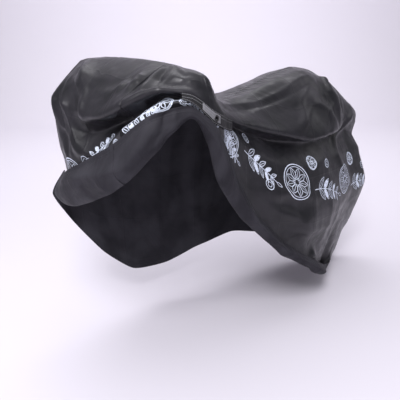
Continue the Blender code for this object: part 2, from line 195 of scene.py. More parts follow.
NEAR_FOLDS = (
    Fold(7, 16, ((0.4, 2.6), (0.2, 1.4))),  # pulled beside the front seam
    Fold(-6, 14, ((0.6, 2.5), (1.1, 2.3), (1.6, 2.2))),
    Fold(6, 30, ((5.4, 1.4), (7.4, 1.2), (8.6, 1.4))),  # along the back of the saddle's lobe
    Fold(10, 20, ((10.0, 1.1), (9.6, 1.8), (9.7, 2.3), (9.8, 2.7))),  # down from the tail's nub
    Fold(-7, 16, ((10.8, 1.6), (10.7, 2.1), (10.6, 2.6))),
    Fold(5, 18, ((8.7, 2.1), (8.0, 2.5), (7.4, 2.8))),  # gathered behind the saddle
    Fold(8, 20, ((11.7, 2.4), (11.1, 3.7), (10.3, 4.2), (10.0, 4.8))),  # at the tail's corner
    Fold(6, 24, ((10.0, 4.9), (10.4, 5.4), (11.0, 5.8))),
    Fold(-9, 34, ((7.0, 6.6), (7.9, 6.5), (8.8, 6.5), (9.6, 6.4))),  # above the rear hem
    Fold(8, 26, ((6.6, 5.7), (7.6, 5.5), (8.4, 5.6))),  # fanned out from the lifted hem
    Fold(7, 24, ((6.7, 6.1), (7.4, 6.1), (8.0, 6.3))),
    Fold(8, 18, ((8.2, 6.9), (8.5, 6.6), (8.7, 6.9))),
    Fold(6, 22, ((0.7, 7.7), (0.9, 8.2), (1.1, 8.8))),  # across the cuff
    Fold(-7, 18, ((1.2, 7.4), (1.3, 8.1), (1.3, 8.8))),
)

NEAR_CREASES = (
    Fold(-9, 18, ((0.35, 1.0), (0.5, 1.8), (0.6, 2.2), (0.75, 2.5))),  # the deep crease by the seam
    Fold(9, 12, ((0.0, 2.9), (0.3, 2.88), (0.8, 2.85), (1.5, 2.8))),  # the finger of the fold's lip
    Fold(-8, 10, ((0.15, 2.68), (0.5, 2.6), (1.0, 2.58), (1.6, 2.6))),
    Fold(-20, 24, ((-0.9, 8.3), (0.0, 8.3), (0.3, 8.2), (0.7, 8.3), (1.0, 8.4), (1.5, 8.3))),
    Fold(12, 12, ((1.36, 9.1), (1.34, 8.7), (1.25, 8.3), (1.0, 7.9))),  # where the cuff's facets meet
    Fold(-9, 15, ((1.0, 9.1), (0.9, 8.8), (0.8, 8.5), (0.7, 8.2))),
    Fold(-11, 14, ((1.6, 8.9), (1.55, 8.5), (1.6, 8.0))),
    Fold(7, 9, ((-0.5, 8.8), (0.8, 8.8), (1.8, 8.78), (2.6, 8.75))),  # along the cuff's hem
    Fold(8, 14, ((5.6, 1.35), (6.75, 1.6), (7.6, 1.55), (8.35, 1.45), (9.2, 1.25))),  # the long fold
    Fold(10, 16, ((8.9, 1.5), (8.3, 2.0), (7.9, 2.5), (7.6, 2.9))),
    Fold(5.5, 18, ((0.5, 2.7), (0.3, 1.9), (0.1, 1.0))),  # puckers beside the front seam
    Fold(-5.5, 18, ((0.8, 2.2), (0.4, 1.7), (0.2, 1.2))),
    Fold(7, 20, ((0.9, 1.3), (1.3, 1.8), (2.0, 1.9))),  # crumpled where the front turns the corner
    Fold(-7, 20, ((1.1, 1.1), (1.6, 1.5), (2.4, 1.4))),
    Fold(5.5, 18, ((1.8, 1.0), (1.9, 1.5), (1.8, 2.0))),
    Fold(-7, 20, ((0.7, 2.3), (1.5, 2.2), (2.2, 2.5))),
    Fold(5.5, 22, ((2.6, 1.4), (3.1, 1.9), (3.3, 2.6))),
    Fold(4, 22, ((3.8, 1.2), (4.3, 1.9), (4.5, 2.6))),
    Fold(11, 10, ((9.97, 1.1), (9.97, 1.35))),  # the nub of pinched cloth on the tail
    Fold(12, 15, ((9.9, 1.2), (9.6, 1.8), (9.7, 2.3), (9.8, 2.8))),
    Fold(-11, 14, ((9.4, 1.5), (9.2, 2.0), (9.4, 2.4), (9.5, 2.7))),
    Fold(10, 13, ((8.5, 2.2), (9.1, 2.45), (9.6, 2.3))),  # crossed creases behind the saddle
    Fold(-10, 12, ((9.0, 2.1), (9.05, 2.5), (8.8, 2.85))),
    Fold(5.5, 18, ((9.1, 2.5), (9.5, 2.8))),
    Fold(-5.5, 20, ((10.2, 2.0), (10.6, 2.4), (10.7, 2.8))),
    Fold(5.5, 20, ((8.7, 2.1), (8.0, 2.5), (7.4, 2.8))),
    Fold(-7, 14, ((6.2, 1.85), (7.0, 1.8), (8.0, 1.7), (8.9, 1.5))),  # under the top of the lobe
    Fold(5.5, 20, ((7.9, 1.55), (8.5, 1.3), (9.2, 1.35))),
    Fold(4, 30, ((6.0, 2.4), (6.8, 2.0), (7.6, 1.9))),
    Fold(-4, 25, ((6.9, 2.5), (7.5, 2.2), (8.2, 2.2))),
    Fold(5.5, 18, ((5.3, 2.95), (6.5, 2.95), (7.5, 2.97), (8.5, 2.97), (9.5, 2.95), (10.5, 2.9))),
    Fold(9.5, 30, ((5.7, 3.3), (6.3, 3.8), (6.7, 4.2), (7.3, 4.4))),  # slanting under the lip
    Fold(7, 25, ((7.2, 4.4), (8.0, 4.1), (9.0, 3.8), (10.2, 3.4))),
    Fold(-7, 30, ((7.2, 4.0), (8.0, 3.7), (9.2, 3.5))),
    Fold(11, 14, ((11.7, 2.5), (11.1, 3.7), (10.3, 4.2), (9.9, 4.8))),  # at the tail's corner
    Fold(5.5, 20, ((9.9, 4.8), (10.2, 5.3), (10.9, 5.9))),
    Fold(-5.5, 25, ((10.9, 3.2), (10.5, 3.9), (9.8, 4.3))),
    Fold(5.5, 22, ((12.2, 3.2), (12.1, 4.2), (11.9, 5.2))),
    Fold(3.5, 18, ((8.1, 4.9), (8.25, 5.6), (8.2, 6.3))),  # long soft lines down the side
    Fold(3.5, 20, ((9.1, 4.8), (9.2, 5.6), (9.0, 6.4))),
    Fold(-3.5, 22, ((7.4, 4.9), (7.5, 5.6), (7.7, 6.2))),
    Fold(5.5, 20, ((6.7, 5.75), (7.4, 5.55), (8.2, 5.6))),  # fanned out from the lifted hem
    Fold(5.5, 20, ((6.8, 6.15), (7.3, 6.05), (7.9, 6.2))),
    Fold(-5.5, 22, ((6.6, 5.9), (7.2, 5.8), (7.8, 5.9))),
    Fold(10, 18, ((7.2, 6.35), (8.2, 6.25), (9.3, 6.2))),  # above the rear hem
    Fold(12, 16, ((8.1, 6.9), (8.45, 6.6), (8.6, 6.75), (8.9, 6.95))),
    Fold(-7, 22, ((8.3, 6.95), (8.6, 6.85), (9.0, 6.7))),
    Fold(7, 20, ((9.4, 6.9), (9.6, 6.5), (9.7, 6.0))),
    Fold(-5.5, 20, ((0.9, 7.2), (1.15, 7.9), (1.2, 8.9))),  # on the cuff
    Fold(7, 20, ((1.3, 7.2), (1.35, 8.0), (1.35, 8.9))),
    Fold(-7, 20, ((1.55, 7.3), (1.5, 8.1), (1.6, 8.9))),
    Fold(5.5, 18, ((1.1, 8.2), (1.4, 8.4), (1.8, 8.3))),
    Fold(-4, 20, ((5.6, 7.2), (5.7, 7.9), (5.7, 8.7))),
    Fold(5.5, 20, ((6.6, 7.2), (6.8, 7.9), (6.9, 8.8))),
    Fold(-5.5, 20, ((7.1, 7.2), (7.2, 7.9), (7.2, 8.8))),
)


def from_rest(points):
    """Table points in millimetres above the ground, as metres from the handlebar."""
    return (np.array(points, float) - (0, 0, REST_HEIGHT)) * MM


def unit(steps):
    return steps / np.maximum(np.linalg.norm(steps, axis=-1, keepdims=True), 1e-9)


def smooth_through(rows, steps):
    """Rows of points on a smooth curve through the given rows, with so many steps in each span."""
    chords = np.diff(rows, axis=0)
    ways = unit(chords)
    tangents = unit(np.concatenate([ways[:1], ways[:-1] + ways[1:], ways[-1:]]))
    lengths = np.linalg.norm(chords, axis=-1, keepdims=True)
    made = []
    for span, count in enumerate(steps):
        start, end = rows[span], rows[span + 1]
        leave, arrive = ROUNDNESS * lengths[span] * tangents[span : span + 2]
        for t in np.arange(count) / count:
            share = t * t * (3 - 2 * t)
            swing = leave * t * (1 - t) ** 2 - arrive * t * t * (1 - t)
            made.append(start * (1 - share) + end * share + swing)
    made.append(rows[-1])
    return np.array(made)


def seam_points(x):
    """Points of the top seam at these x, which both panels share."""
    line = smooth_through(from_rest(SEAM_LINE), [SEAM_STEPS] * (len(SEAM_LINE) - 1))
    y, z = (np.interp(x, line[:, 0], line[:, axis]) for axis in (1, 2))
    return np.stack([x, y, z], -1)


def rib_points(rib):
    """The rib's points from the seam to the edge."""
    heading = math.radians(rib.heading)
    x, y, _ = rib.ridge
    points = [rib.ridge]
    levels = rib[3:]  # from the brow on
    for reach, height in levels:
        points.append((x - math.cos(heading) * reach, y + math.sin(heading) * reach, height))
    return np.concatenate([seam_points(np.array([rib.seam_at * MM])), from_rest(points)])


def panel_points(ribs):
    """The panel's middle surface as points[along][down]."""
    net = np.array([rib_points(rib) for rib in ribs])
    along = smooth_through(net, [STEPS_ALONG] * (len(ribs) - 1))
    along[:, 0] = seam_points(along[:, 0, 0])
    down = smooth_through(np.swapaxes(along, 0, 1), STEPS_DOWN)
    return np.swapaxes(down, 0, 1)


def outward(points):
    """The unit normal at each point, away from the hollow."""
    normal = unit(np.cross(np.gradient(points, axis=0), np.gradient(points, axis=1)))
    middle = len(points) // 2
    side = np.sign(points[middle, :, 1].mean())
    return normal if (normal[middle, :, 1].mean() > 0) == (side > 0) else -normal


def place_in_grid(rib, level):
    """The column of a rib and the row of a level, which may lie between two."""
    starts = np.concatenate([[0], np.cumsum(STEPS_DOWN)])
    return rib * STEPS_ALONG, np.interp(level, range(len(starts)), starts)


def spots(points, column, row):
    """Points of the grid between its corners, at these columns and rows."""
    first = np.minimum(column.astype(int), points.shape[0] - 2)
    above = np.minimum(row.astype(int), points.shape[1] - 2)
    along, down = (column - first)[:, None], (row - above)[:, None]
    start = points[first, above] * (1 - down) + points[first, above + 1] * down
    end = points[first + 1, above] * (1 - down) + points[first + 1, above + 1] * down
    return start * (1 - along) + end * along


def fold_weight(points, fold, softness):
    """1 on the fold's line, falling off to the sides and its ends; a softness of 2 has no edge."""
    places = [place_in_grid(*place) for place in fold.path]
    share = np.linspace(0, len(places) - 1, FOLD_STEPS * len(places))
    column = np.interp(share, range(len(places)), [place[0] for place in places])
    column = np.clip(column, 0, points.shape[0] - 1)
    row = np.interp(share, range(len(places)), [place[1] for place in places])
    line = spots(points, column, row)
    taper = np.sin(np.pi * (share + FOLD_TAPER) / (share[-1] + 2 * FOLD_TAPER))
    reach = int(FOLD_REACH * fold.wide / FACET) + 2
    weight = np.zeros(points.shape[:2])
    for at in range(len(line) - 1):
        first = max(int(column[at : at + 2].min()) - reach, 0)
        last = int(column[at : at + 2].max()) + reach
        part = points[first:last]
        step = line[at + 1] - line[at]
        t = np.clip((part - line[at]) @ step / max(step @ step, 1e-12), 0, 1)
        near = ((part - line[at] - t[..., None] * step) ** 2).sum(axis=2) / (fold.wide * MM) ** 2
        layer = np.abs(np.arange(points.shape[1])[None, :] - row[at] - t * (row[at + 1] - row[at]))
        layer = np.clip(2 - layer / (0.5 * SAME_LAYER), 0, 1)
        full = taper[at] + t * (taper[at + 1] - taper[at])
        profile = np.exp(BLUNT ** (softness / 2) - (near + BLUNT) ** (softness / 2))
        weight[first:last] = np.maximum(weight[first:last], profile * full * layer)
    return weight


def folded(points, folds, softness=SOFT):
    """The cloth with its folds raised, each along the cloth's own normal."""
    normal = outward(points)
    for fold in folds:
        rise = fold_weight(points, fold, softness) * fold.rise * MM
        points = points + normal * rise[:, :, None]
    return points


def zigzag(value):
    """A sharp wave from -1 to 1 and back over each whole step."""
    return 4 * np.abs(value - np.rint(value)) - 1


def drift(places, size, seed):
    """Slow noise from -1 to 1 at each place, with features of that size in metres."""
    flat = places.reshape(-1, 2) / size
    values = [noise.noise(Vector((u, v, seed))) for u, v in flat]
    return np.clip(np.array(values).reshape(places.shape[:2]) * NOISE_GAIN, -1, 1)


def crumpled(points, places, seed):
    """The cloth with long crossed creases, each crisp along part of its way and then fading out."""
    rise = np.zeros(points.shape[:2])
    bend = drift(places, CRUMPLE_BEND_SIZE, seed)
    for number, (pitch, turn, high) in enumerate(CRUMPLES):
        turn = math.radians(turn)
        way = places[..., 0] * math.cos(turn) + places[..., 1] * math.sin(turn)
        patch = drift(places, CRUMPLE_PATCH, seed + SEED_STEP * (number + 1))
        strength = np.clip(CRUMPLE_MEAN + CRUMPLE_SWING * patch, 0, 1)
        phase = way / pitch + CRUMPLE_BEND * bend + CRUMPLE_SHIFT * number
        rise += zigzag(phase) * strength * high
    columns, rows = rise.shape
    ends = np.minimum(np.arange(columns), np.arange(columns)[::-1])[:, None]
    calm = np.clip(ends / SEAM_CALM, 0, 1) * np.clip(np.arange(rows) / SEAM_CALM, 0, 1)[None, :]
    return points + outward(points) * (rise * calm)[:, :, None]


def pressed_flat(points, calmer, ribs, levels):
    """The panel, with its calmer form between these ribs and levels."""
    columns, rows = np.arange(points.shape[0]), np.arange(points.shape[1])
    first, last = (rib * STEPS_ALONG for rib in ribs)
    top, bottom = (place_in_grid(0, level)[1] for level in levels)
    inside = np.clip(np.minimum(columns - first, last - columns) / PRESS_EDGE + 1, 0, 1)[:, None]
    inside = inside * np.clip(np.minimum(rows - top, bottom - rows) / PRESS_EDGE + 1, 0, 1)[None, :]
    return points + (calmer - points) * inside[:, :, None]


def lapped_at_seam(points, side):
    """The panel drawn past the line of its seams, along the top and at both ends."""
    points = points.copy()
    for edge in (points[:, 0], points[0, 1:], points[-1, 1:]):
        edge[:, 1] -= side * SEAM_LAP
    return points


def measured(points, row):
    """How far each point is along the panel, on that row, and how far down from its top edge."""
    along = np.linalg.norm(np.diff(points[:, row], axis=0), axis=1)
    along = np.concatenate([[0], np.cumsum(along)])
    drops = np.linalg.norm(np.diff(points, axis=1), axis=2)
    down = np.concatenate([np.zeros((len(points), 1)), np.cumsum(drops, axis=1)], axis=1)
    return np.broadcast_to(along[:, None], down.shape), down


def print_places(points):
    """(along, across) of each point in metres, on the line that the middle of the print follows."""
    middle = int(place_in_grid(0, PRINT_LEVEL)[1])
    along, down = measured(points, middle)
    return np.stack([along, down - down[:, middle : middle + 1]], -1)


def panel_maps(points):
    """The panel's UV maps in metres: over its cloth, from its top seam and from its hem."""
    hem_along, down = measured(points, -1)
    return {
        "cloth": print_places(points),
        "seam": np.stack(measured(points, 0), -1),
        "hem": np.stack([hem_along, down[:, -1:] - down], -1),
    }


def cloth_object(name, points, maps, materials, thick):
    """A sheet of cloth with points[along][down] on it, its UV maps in metres, and its thickness."""
    columns, rows = points.shape[:2]
    corner = np.arange(columns * rows).reshape(columns, rows)
    faces = np.stack([corner[:-1, :-1], corner[:-1, 1:], corner[1:, 1:], corner[1:, :-1]], -1)
    at, down = columns // 2, rows // 2
    middle = points[at, down]
    face = np.cross(points[at, down + 1] - middle, points[at + 1, down] - middle)
    if outward(points)[at, down] @ face < 0:
        faces = faces[..., ::-1]
    mesh = bpy.data.meshes.new(name)
    mesh.from_pydata(points.reshape(-1, 3).tolist(), [], faces.reshape(-1, 4).tolist())
    for map_name, places in maps.items():
        uv = mesh.uv_layers.new(name=map_name)
        flat = places.reshape(-1, 2)[faces.reshape(-1)]
        uv.data.foreach_set("uv", flat.reshape(-1).astype(np.float32))
    mesh.shade_smooth()
    for material in materials:
        mesh.materials.append(material)
    piece = new_object(name, mesh)
    solid = piece.modifiers.new("Thickness", "SOLIDIFY")
    solid.thickness = thick
    solid.offset = 0
    solid.material_offset = len(materials) - 1
    return piece


def new_material(name):
    """A material, its node tree and its shader."""
    material = bpy.data.materials.new(name)
    material.use_nodes = True
    tree = material.node_tree
    return material, tree, tree.nodes["Principled BSDF"]


def shader_node(tree, kind, inputs, **settings):
    """A shader node, each input a number, a colour or another node's output; gives its output."""
    node = tree.nodes.new(kind)
    for name, value in settings.items():
        setattr(node, name, value)
    for name, value in inputs.items():
        if isinstance(value, bpy.types.NodeSocket):
            tree.links.new(value, node.inputs[name])
        else:
            node.inputs[name].default_value = value
    return node.outputs[0]


def calc(tree, operation, first, second=0.0):
    return shader_node(tree, "ShaderNodeMath", {0: first, 1: second}, operation=operation)


def ease(tree, value, start, end, low, high):
    """low up to start, high from end on, and a smooth rise between."""
    inputs = {"Value": value, 1: start, 2: end, 3: low, 4: high}
    return shader_node(tree, "ShaderNodeMapRange", inputs, interpolation_type="SMOOTHSTEP")


def uv_parts(tree, name):
    """The two coordinates of a UV map, and the map itself."""
    places = shader_node(tree, "ShaderNodeUVMap", {}, uv_map=name)
    split = tree.nodes.new("ShaderNodeSeparateXYZ")
    tree.links.new(places, split.inputs[0])
    return split.outputs[0], split.outputs[1], places


def mottle(tree, places, scale, detail=2.0, roughness=0.5, distortion=0.0):
    """Noise from 0 to 1, with about so many features to a unit of its places."""
    inputs = {"Vector": places, "Scale": scale, "Detail": detail}
    inputs |= {"Roughness": roughness, "Distortion": distortion}
    return shader_node(tree, "ShaderNodeTexNoise", inputs)


def fine_waves(tree, along, pitch, high):
    wave = calc(tree, "SINE", calc(tree, "MULTIPLY", along, math.tau / pitch))
    return calc(tree, "MULTIPLY", wave, high)


def stitch_row(tree, along, away, row):
    """1 on the stitches of one sewn row, that far from the cloth's edge."""
    across = calc(tree, "ABSOLUTE", calc(tree, "SUBTRACT", away, row))
    thread = ease(tree, across, THREAD * 0.5, THREAD, 1.0, 0.0)
    phase = calc(tree, "FRACT", calc(tree, "DIVIDE", along, STITCH_LONG))
    middle = calc(tree, "ABSOLUTE", calc(tree, "SUBTRACT", phase, 0.5))
    return calc(tree, "MULTIPLY", thread, ease(tree, middle, *STITCH_ENDS, 1.0, 0.0))


def sewn_edge(tree, map_name, band, rows, pucker_high):
    """The height of a sewn edge, doubled, stitched and puckered, and 1 where its thread shows."""
    along, away, places = uv_parts(tree, map_name)
    doubled = ease(tree, away, band, band + BAND_SLOPE, BAND_HIGH, 0.0)
    thread = 0.0
    for row in rows:
        thread = calc(tree, "MAXIMUM", thread, stitch_row(tree, along, away, row))
    wobble = calc(tree, "MULTIPLY", mottle(tree, places, WOBBLE_SCALE), WOBBLE)
    phase = calc(tree, "ADD", calc(tree, "MULTIPLY", along, math.tau / PUCKER), wobble)
    fading = ease(tree, away, band, PUCKER_REACH, pucker_high, 0.0)
    height = calc(tree, "ADD", doubled, calc(tree, "MULTIPLY", calc(tree, "SINE", phase), fading))
    return calc(tree, "ADD", height, calc(tree, "MULTIPLY", thread, STITCH_HIGH)), thread


def blended(tree, share, first, second):
    """One colour turning into another as the share goes from 0 to 1."""
    node = tree.nodes.new("ShaderNodeMix")
    node.data_type = "RGBA"
    tree.links.new(share, node.inputs["Factor"])
    for socket, colour in ((node.inputs[6], first), (node.inputs[7], second)):
        if isinstance(colour, bpy.types.NodeSocket):
            tree.links.new(colour, socket)
        else:
            socket.default_value = (*colour, 1)
    return node.outputs[2]


def finish(tree, shader, colour, roughness, heights):
    """Gives the shader its colour, its roughness and, added up, the heights of its relief."""
    tree.links.new(colour, shader.inputs["Base Color"])
    tree.links.new(roughness, shader.inputs["Roughness"])
    total = heights[0]
    for height in heights[1:]:
        total = calc(tree, "ADD", total, height)
    bump = shader_node(tree, "ShaderNodeBump", {"Height": total, "Strength": 1.0, "Distance": 1.0})
    tree.links.new(bump, shader.inputs["Normal"])


def taffeta(name, dark, light, roughness, shine, edges, thread_colour=THREAD_COLOUR):
    """Coated taffeta: a fine weave, small crinkles, creases from its storage folds, sewn edges."""
    material, tree, shader = new_material(name)
    u, v, places = uv_parts(tree, "cloth")
    clouds = mottle(tree, places, CLOUD_SCALE, detail=4.0)
    crinkle = mottle(tree, places, CRINKLE_SCALE, distortion=0.4)
    bend = mottle(tree, places, BEND_SCALE, detail=0.0)
    wander = calc(tree, "MULTIPLY", bend, CREASE_WANDER)
    heights = [fine_waves(tree, way, WEAVE, WEAVE_HIGH) for way in (u, v)]
    heights.append(calc(tree, "MULTIPLY", crinkle, CRINKLE_HIGH))
    for number, (pitch, turn, high) in enumerate(CREASES):
        along = calc(tree, "MULTIPLY", u, math.cos(math.radians(turn)) / pitch)
        across = calc(tree, "MULTIPLY", v, math.sin(math.radians(turn)) / pitch)
        crease = calc(tree, "ADD", calc(tree, "ADD", along, across), wander)
        crease = calc(tree, "PINGPONG", crease, 0.5)
        patch = mottle(tree, places, CREASE_PATCH + CREASE_PATCH_STEP * number, detail=1.0)
        shown = ease(tree, patch, *CREASE_SHOWS, 0.0, 2 * high)
        heights.append(calc(tree, "MULTIPLY", crease, shown))
    for way in (u, v):
        phase = calc(tree, "FRACT", calc(tree, "DIVIDE", way, STORED_FOLD))
        off = calc(tree, "ABSOLUTE", calc(tree, "SUBTRACT", phase, 0.5))
        heights.append(ease(tree, off, 0.0, STORED_WIDE, STORED_HIGH, 0.0))
    thread = 0.0
    for edge in edges:
        height, stitches = sewn_edge(tree, *edge)
        heights.append(height)
        thread = calc(tree, "MAXIMUM", thread, stitches)
    cloth = blended(tree, ease(tree, clouds, *CLOUD_RANGE, 0.0, 1.0), dark, light)
    rough = ease(tree, crinkle, *NOISE_RANGE, roughness - ROUGH_LESS, roughness + ROUGH_MORE)
    finish(tree, shader, blended(tree, thread, cloth, thread_colour), rough, heights)
    shader.inputs["Specular IOR Level"].default_value = shine
    return material


def panel_cloth(side):
    """A panel's two faces: coated outside, plain and paler inside."""
    return (
        taffeta(side + "_taffeta", OUTER_DARK, OUTER_LIGHT, OUTER_ROUGH, OUTER_SHINE, SEWN_EDGES),
        taffeta(side + "_lining", INNER_DARK, INNER_LIGHT, INNER_ROUGH, INNER_SHINE, SEWN_EDGES),
    )


near_soft = folded(panel_points(NEAR_RIBS), NEAR_FOLDS)
near_creased = folded(near_soft, NEAR_CREASES, CRISP)
near_points = crumpled(near_creased, print_places(near_creased), NEAR_SEED)
near_points = pressed_flat(near_points, near_creased, *SADDLE_TAUT)
near_points = pressed_flat(near_points, near_creased, *TAIL_TAUT)
near_points = pressed_flat(near_points, near_soft, *BEHIND_STRIP)
near_points = lapped_at_seam(near_points, -1)
near_piece = cloth_object(
    "near_cloth", near_points, panel_maps(near_points), panel_cloth("near"), CLOTH_THICK
)
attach(near_piece, "root")
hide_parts("near_side_panel")

# ---------------------------------------------------------------------------------------------
# The print on the near side panel: a band of ring flowers and leaf sprays, screen printed in thin
# lines of pale ink. It runs along the side under the fold and drops towards the tail.
INK_LINE, INK_FINE = 4.0 * MM, 2.5 * MM
THINNER = 0.8  # of either line
INK_STEP = 4 * MM
INK_LIFT = 0.7 * MM  # from the middle of the cloth
INK_COLOUR, INK_WORN = (0.68, 0.74, 0.86), (0.34, 0.37, 0.45)
INK_ROUGH = (0.48, 0.66)
WEAR_SCALE, WEAR_RANGE = 90.0, (0.50, 0.72)  # the specks where the ink is worn thin
PRINT_ENDS_AT = 6.9  # the level where the cloth turns up into the cuff
FLOWER_RIM, FLOWER_HEART = 0.86, 0.17  # shares of a flower's size
PETAL_START, PETAL_LONG, PETAL_WIDE = 0.2, 0.62, 0.17
LARGE_FLOWER, LARGE_PETALS, SMALL_PETALS = 0.04, 9, 6
VEINED_FLOWER = 0.06
STEM_POINTS = 25
STEM_BOW, STEM_CROSS = 0.22, 0.6  # it bows to one side, and past that share of it to the other
LEAVES_AT = (4, 8, 12, 16, 20)  # the points of the stem that bear a pair
LEAF_LONG, LEAF_SHORTER, LEAF_WIDE = 0.30, 0.028, 0.17
LEAF_TURN, LEAF_FILLED = 0.85, 0.26  # from the stem; every other pair is filled that wide with ink
TIP_TURN, TIP_LONG, TIP_WIDE = 0.2, 0.16, 0.03
LEAF_POINTS, LEAF_SKEW, VEIN_ENDS = 11, 0.85, (0.12, 0.8)  # it is widest nearer to its foot
BUD_HEART = 0.5

# Each motif is (kind, along the band, across it, turn in degrees, size), in metres.
NEAR_MOTIFS = (
    ("spray", -0.015, 0.022, -3, 0.13), ("flower", 0.135, 0.008, 0, 0.030),
    ("spray", 0.165, 0.004, 2, 0.10), ("bud", 0.115, 0.030, 0, 0.012), ("bud", 0.055, -0.012, 0, 0.012),
    ("flower", 0.300, 0.004, 0, 0.032), ("spray", 0.34, 0.010, 6, 0.12),
    ("flower", 0.545, 0.040, 0, 0.062), ("bud", 0.455, -0.002, 0, 0.016),
    ("spray", 0.475, 0.030, 24, 0.15), ("spray", 0.655, 0.050, 16, 0.20), ("bud", 0.70, -0.012, 0, 0.017),
    ("bud", 0.80, 0.138, 0, 0.020), ("flower", 0.965, 0.110, 10, 0.074),
    ("flower", 1.085, 0.035, 0, 0.030), ("spray", 1.075, 0.150, 10, 0.22),
    ("bud", 1.20, 0.055, 0, 0.018), ("flower", 1.385, 0.160, 25, 0.068),
    ("spray", 1.47, 0.215, -6, 0.19), ("flower", 1.50, 0.085, 0, 0.030),
    ("bud", 1.62, 0.125, 0, 0.018), ("flower", 1.735, 0.215, 5, 0.050),
)


def ring_line(radius, steps=48):
    turn = np.linspace(0, math.tau, steps + 1)
    return np.stack([np.cos(turn), np.sin(turn)], -1) * radius


def turned(angle):
    """The matrix that turns flat points by an angle."""
    return np.array(((math.cos(angle), math.sin(angle)), (-math.sin(angle), math.cos(angle))))


def leaf_line(start, heading, long, wide):
    """The outline of a pointed leaf, and the vein along its middle."""
    share = np.linspace(0, 1, LEAF_POINTS)
    out = np.stack([share * long, wide * np.sin(math.pi * share ** LEAF_SKEW)], -1)
    back = out[::-1] * (1, -1)
    vein = np.array([(end * long, 0) for end in VEIN_ENDS])
    turn = turned(heading)
    return np.concatenate([out, back]) @ turn + start, vein @ turn + start


def flower_lines(size):
    """Two rims, a ring of petals and a heart."""
    lines = [(ring_line(size), INK_LINE)]
    lines.append((ring_line(size * FLOWER_RIM, steps=36), INK_FINE))
    lines.append((ring_line(size * FLOWER_HEART, steps=16), INK_FINE))
    petals = LARGE_PETALS if size > LARGE_FLOWER else SMALL_PETALS
    for number in range(petals):
        heading = math.tau * number / petals
        start = np.array([math.cos(heading), math.sin(heading)]) * size * PETAL_START
        petal, vein = leaf_line(start, heading, size * PETAL_LONG, size * PETAL_WIDE)
        lines.append((petal, INK_FINE))
        if size > VEINED_FLOWER:
            lines.append((vein, INK_FINE * THINNER))
    return lines


def spray_lines(size):
    """A bowed stem with pairs of leaves, smaller towards its tip, and one leaf at the end."""
    share = np.linspace(0, 1, STEM_POINTS)
    stem = np.stack([share * size, STEM_BOW * size * share * (share - STEM_CROSS)], -1)
    lines = [(stem, INK_LINE * THINNER)]
    for number, at in enumerate(LEAVES_AT):
        way = stem[at + 1] - stem[at]
        heading = math.atan2(way[1], way[0])
        long = size * (LEAF_LONG - LEAF_SHORTER * number)
        for side in (-1, 1):
            leaf, vein = leaf_line(stem[at], heading + side * LEAF_TURN, long, long * LEAF_WIDE)
            filled = long * LEAF_FILLED if number % 2 else INK_FINE * THINNER
            lines += [(leaf, INK_FINE), (vein, filled)]
    leaf, _ = leaf_line(stem[-1], TIP_TURN, size * TIP_LONG, size * TIP_WIDE)
    return lines + [(leaf, INK_FINE)]


def bud_lines(size):
    rim, heart = ring_line(size, steps=20), ring_line(size * BUD_HEART, steps=14)
    return [(rim, INK_LINE * THINNER), (heart, INK_FINE)]


MOTIF_LINES = {"flower": flower_lines, "spray": spray_lines, "bud": bud_lines}


def evenly(line, step):
    """The line with its points at even steps."""
    lengths = np.concatenate([[0], np.cumsum(np.linalg.norm(np.diff(line, axis=0), axis=1))])
    count = max(2, int(round(lengths[-1] / step)) + 1)
    at = np.linspace(0, lengths[-1], count)
    return np.stack([np.interp(at, lengths, line[:, 0]), np.interp(at, lengths, line[:, 1])], -1)


def onto_cloth(flat, points, places, normal):
    """Points just above the cloth at these places of its band, and whether each is on the panel."""
    lifted = points + normal * INK_LIFT
    column = np.interp(flat[:, 0], places[:, 0, 0], range(len(places)))
    inside = (flat[:, 0] > places[0, 0, 0]) & (flat[:, 0] < places[-1, 0, 0])
    last_row = place_in_grid(0, PRINT_ENDS_AT)[1]
    made = []
    for number, (at, across) in enumerate(zip(column, flat[:, 1])):
        first = min(int(at), len(points) - 2)
        share = at - first
        pair = []
        for grid in (first, first + 1):
            row = np.interp(across, places[grid, :, 1], range(places.shape[1]))
            inside[number] &= 1 < row < last_row
            low = min(int(row), places.shape[1] - 2)
            pair.append(lifted[grid, low] * (1 - row + low) + lifted[grid, low + 1] * (row - low))
        made.append(pair[0] * (1 - share) + pair[1] * share)
    return np.array(made), inside


def printed(name, motifs, points, material):
    """The lines of the motifs as ribbons of ink on the panel."""
    places = print_places(points)
    normal = outward(points)
    verts, faces, flats = [], [], []
    for kind, along, across, turn, size in motifs:
        spin = turned(math.radians(turn))
        for line, wide in MOTIF_LINES[kind](size):
            line = evenly(line @ spin + (along, across), INK_STEP)
            way = unit(np.gradient(line, axis=0))
            aside = np.stack([-way[:, 1], way[:, 0]], -1) * wide / 2
            flat = np.stack([line - aside, line + aside], 1).reshape(-1, 2)
            inked, inside = onto_cloth(flat, points, places, normal)
            first = len(verts)
            verts += inked.tolist()
            flats += flat.tolist()
            for number in range(len(line) - 1):
                corners = [2 * number, 2 * number + 1, 2 * number + 3, 2 * number + 2]
                if inside[corners].all():
                    faces.append([first + corner for corner in corners])
    mesh = bpy.data.meshes.new(name)
    mesh.from_pydata(verts, [], faces)
    uv = mesh.uv_layers.new(name="cloth")
    flats = np.array(flats)[np.array(faces).reshape(-1)]
    uv.data.foreach_set("uv", flats.reshape(-1).astype(np.float32))
    mesh.shade_smooth()
    mesh.materials.append(material)
    return new_object(name, mesh)


